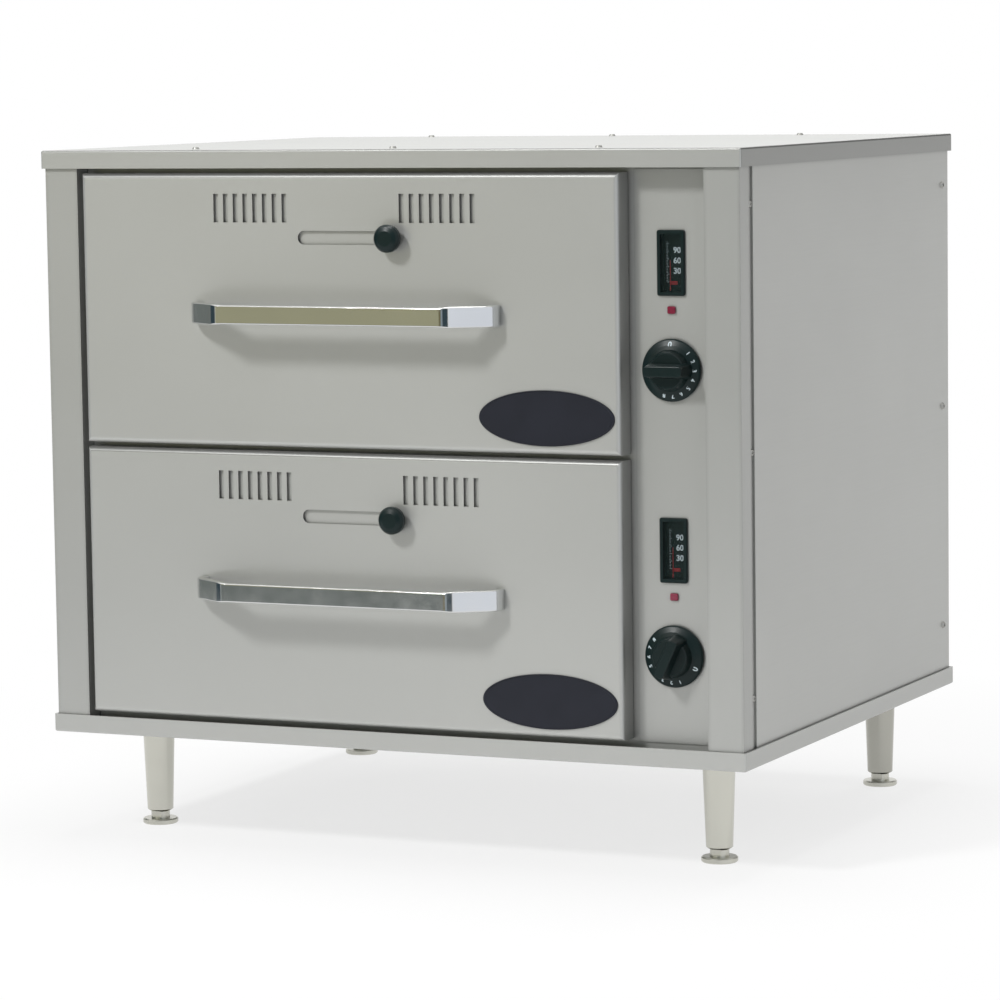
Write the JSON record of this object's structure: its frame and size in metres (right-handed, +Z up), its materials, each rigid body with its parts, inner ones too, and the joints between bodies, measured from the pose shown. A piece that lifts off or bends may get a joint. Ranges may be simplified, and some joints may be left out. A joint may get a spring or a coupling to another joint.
{
  "type": "countertop warming drawer",
  "caption": "Stainless counter unit on adjustable legs with stacked heated pan drawers, bridge handles, vent sliders, dial thermostats and upright thermometers.",
  "frame": {"origin": "on the floor under the middle of the unit's outer box, handles and cord gland included", "axes": "+Z up, the drawer fronts face -Y, +X is to the right as seen from the front"},
  "size_m": [0.75, 0.6708, 0.694],
  "materials": {
    "black_plastic": "black phenolic with a soft gloss",
    "chrome": "polished chrome plate",
    "galvanised": "dull galvanised sheet",
    "gauge": "black moulded bezel",
    "gland_plastic": "black nylon",
    "heater_sheath": "heat-darkened nickel alloy",
    "leg_metal": "satin nickel-coloured die casting",
    "mineral_wool": "matt felted mineral wool",
    "plated_shaft": "plated steel",
    "red_lens": "translucent red lens",
    "screw_steel": "plain stainless screws",
    "stainless_body": "fine vertical-grain satin stainless sheet",
    "stainless_front": "satin stainless, fine horizontal grain",
    "stainless_pan": "bright drawn stainless",
    "terminal": "cream phenolic",
    "thermostat_case": "plated steel case with copper capillary",
    "zinc_runner": "bright zinc plate"
  },
  "bodies": {
    "cabinet": {"top_cover": "stainless_body", "base_pan": "stainless_body", "right_side_panel": "stainless_body", "left_side_panel": "stainless_body", "right_corner_post": "stainless_body", "left_corner_post": "stainless_body", "back_panel": "stainless_body", "front_frame": "stainless_body", "control_panel": "stainless_body", "insulation_pads": "mineral_wool", "terminal_block": "terminal", "cord_gland": "gland_plastic", "cabinet_screws": "screw_steel", "front_left_leg": "leg_metal", "front_right_leg": "leg_metal", "rear_left_leg": "leg_metal", "rear_right_leg": "leg_metal", "lower_cavity": "galvanised", "lower_heating_element": "heater_sheath", "lower_thermostat": "thermostat_case", "lower_thermometer": "gauge", "lower_pilot_lamp": "red_lens", "lower_outer_runners": "zinc_runner", "upper_cavity": "galvanised", "upper_heating_element": "heater_sheath", "upper_thermostat": "thermostat_case", "upper_thermometer": "gauge", "upper_pilot_lamp": "red_lens", "upper_outer_runners": "zinc_runner"},
    "lower_drawer": {"lower_drawer_front": "stainless_front", "lower_drawer_front_liner": "galvanised", "lower_pan_frame": "stainless_pan", "lower_food_pan": "stainless_pan", "lower_handle": "chrome", "lower_handle_screws": "screw_steel", "lower_inner_runners": "zinc_runner"},
    "lower_vent": {"lower_vent_shutter": "stainless_front", "lower_vent_knob": "black_plastic"},
    "lower_thermostat_control": {"lower_thermostat_knob": "black_plastic", "lower_thermostat_shaft": "plated_shaft"},
    "lower_left_runner": {"lower_left_middle_runner": "zinc_runner"},
    "lower_right_runner": {"lower_right_middle_runner": "zinc_runner"},
    "upper_drawer": {"upper_drawer_front": "stainless_front", "upper_drawer_front_liner": "galvanised", "upper_pan_frame": "stainless_pan", "upper_food_pan": "stainless_pan", "upper_handle": "chrome", "upper_handle_screws": "screw_steel", "upper_inner_runners": "zinc_runner"},
    "upper_vent": {"upper_vent_shutter": "stainless_front", "upper_vent_knob": "black_plastic"},
    "upper_thermostat_control": {"upper_thermostat_knob": "black_plastic", "upper_thermostat_shaft": "plated_shaft"},
    "upper_left_runner": {"upper_left_middle_runner": "zinc_runner"},
    "upper_right_runner": {"upper_right_middle_runner": "zinc_runner"},
    "front_left_levelling_foot": {"front_left_foot": "leg_metal"},
    "front_right_levelling_foot": {"front_right_foot": "leg_metal"},
    "rear_left_levelling_foot": {"rear_left_foot": "leg_metal"},
    "rear_right_levelling_foot": {"rear_right_foot": "leg_metal"}
  },
  "joints": [
    {"name": "lower_drawer_slide", "type": "slide", "parent": "cabinet", "child": "lower_drawer", "axis": [0, -1, 0], "range_m": [0, 0.38]},
    {"name": "lower_left_runner_slide", "type": "slide", "parent": "cabinet", "child": "lower_left_runner", "axis": [0, -1, 0], "range_m": [0, 0.19]},
    {"name": "lower_right_runner_slide", "type": "slide", "parent": "cabinet", "child": "lower_right_runner", "axis": [0, -1, 0], "range_m": [0, 0.19]},
    {"name": "lower_vent_slide", "type": "slide", "parent": "lower_drawer", "child": "lower_vent", "axis": [-1, 0, 0], "range_m": [0, 0.095]},
    {"name": "lower_thermostat_turn", "type": "hinge", "parent": "cabinet", "child": "lower_thermostat_control", "pos_m": [0.2945, -0.27235, 0.2098], "axis": [0, 1, 0], "range_deg": [-115, 175]},
    {"name": "upper_drawer_slide", "type": "slide", "parent": "cabinet", "child": "upper_drawer", "axis": [0, -1, 0], "range_m": [0, 0.38]},
    {"name": "upper_left_runner_slide", "type": "slide", "parent": "cabinet", "child": "upper_left_runner", "axis": [0, -1, 0], "range_m": [0, 0.19]},
    {"name": "upper_right_runner_slide", "type": "slide", "parent": "cabinet", "child": "upper_right_runner", "axis": [0, -1, 0], "range_m": [0, 0.19]},
    {"name": "upper_vent_slide", "type": "slide", "parent": "upper_drawer", "child": "upper_vent", "axis": [-1, 0, 0], "range_m": [0, 0.095]},
    {"name": "upper_thermostat_turn", "type": "hinge", "parent": "cabinet", "child": "upper_thermostat_control", "pos_m": [0.2945, -0.27235, 0.4823], "axis": [0, 1, 0], "range_deg": [0, 290]},
    {"name": "front_left_foot_adjust", "type": "slide", "parent": "cabinet", "child": "front_left_levelling_foot", "axis": [0, 0, -1], "range_m": [0, 0.025]},
    {"name": "front_right_foot_adjust", "type": "slide", "parent": "cabinet", "child": "front_right_levelling_foot", "axis": [0, 0, -1], "range_m": [0, 0.025]},
    {"name": "rear_left_foot_adjust", "type": "slide", "parent": "cabinet", "child": "rear_left_levelling_foot", "axis": [0, 0, -1], "range_m": [0, 0.025]},
    {"name": "rear_right_foot_adjust", "type": "slide", "parent": "cabinet", "child": "rear_right_levelling_foot", "axis": [0, 0, -1], "range_m": [0, 0.025]}
  ],
  "couplings": [
    {"joint": "lower_left_runner_slide", "follows": "lower_drawer_slide", "ratio": 0.5},
    {"joint": "lower_right_runner_slide", "follows": "lower_drawer_slide", "ratio": 0.5},
    {"joint": "upper_left_runner_slide", "follows": "upper_drawer_slide", "ratio": 0.5},
    {"joint": "upper_right_runner_slide", "follows": "upper_drawer_slide", "ratio": 0.5}
  ]
}
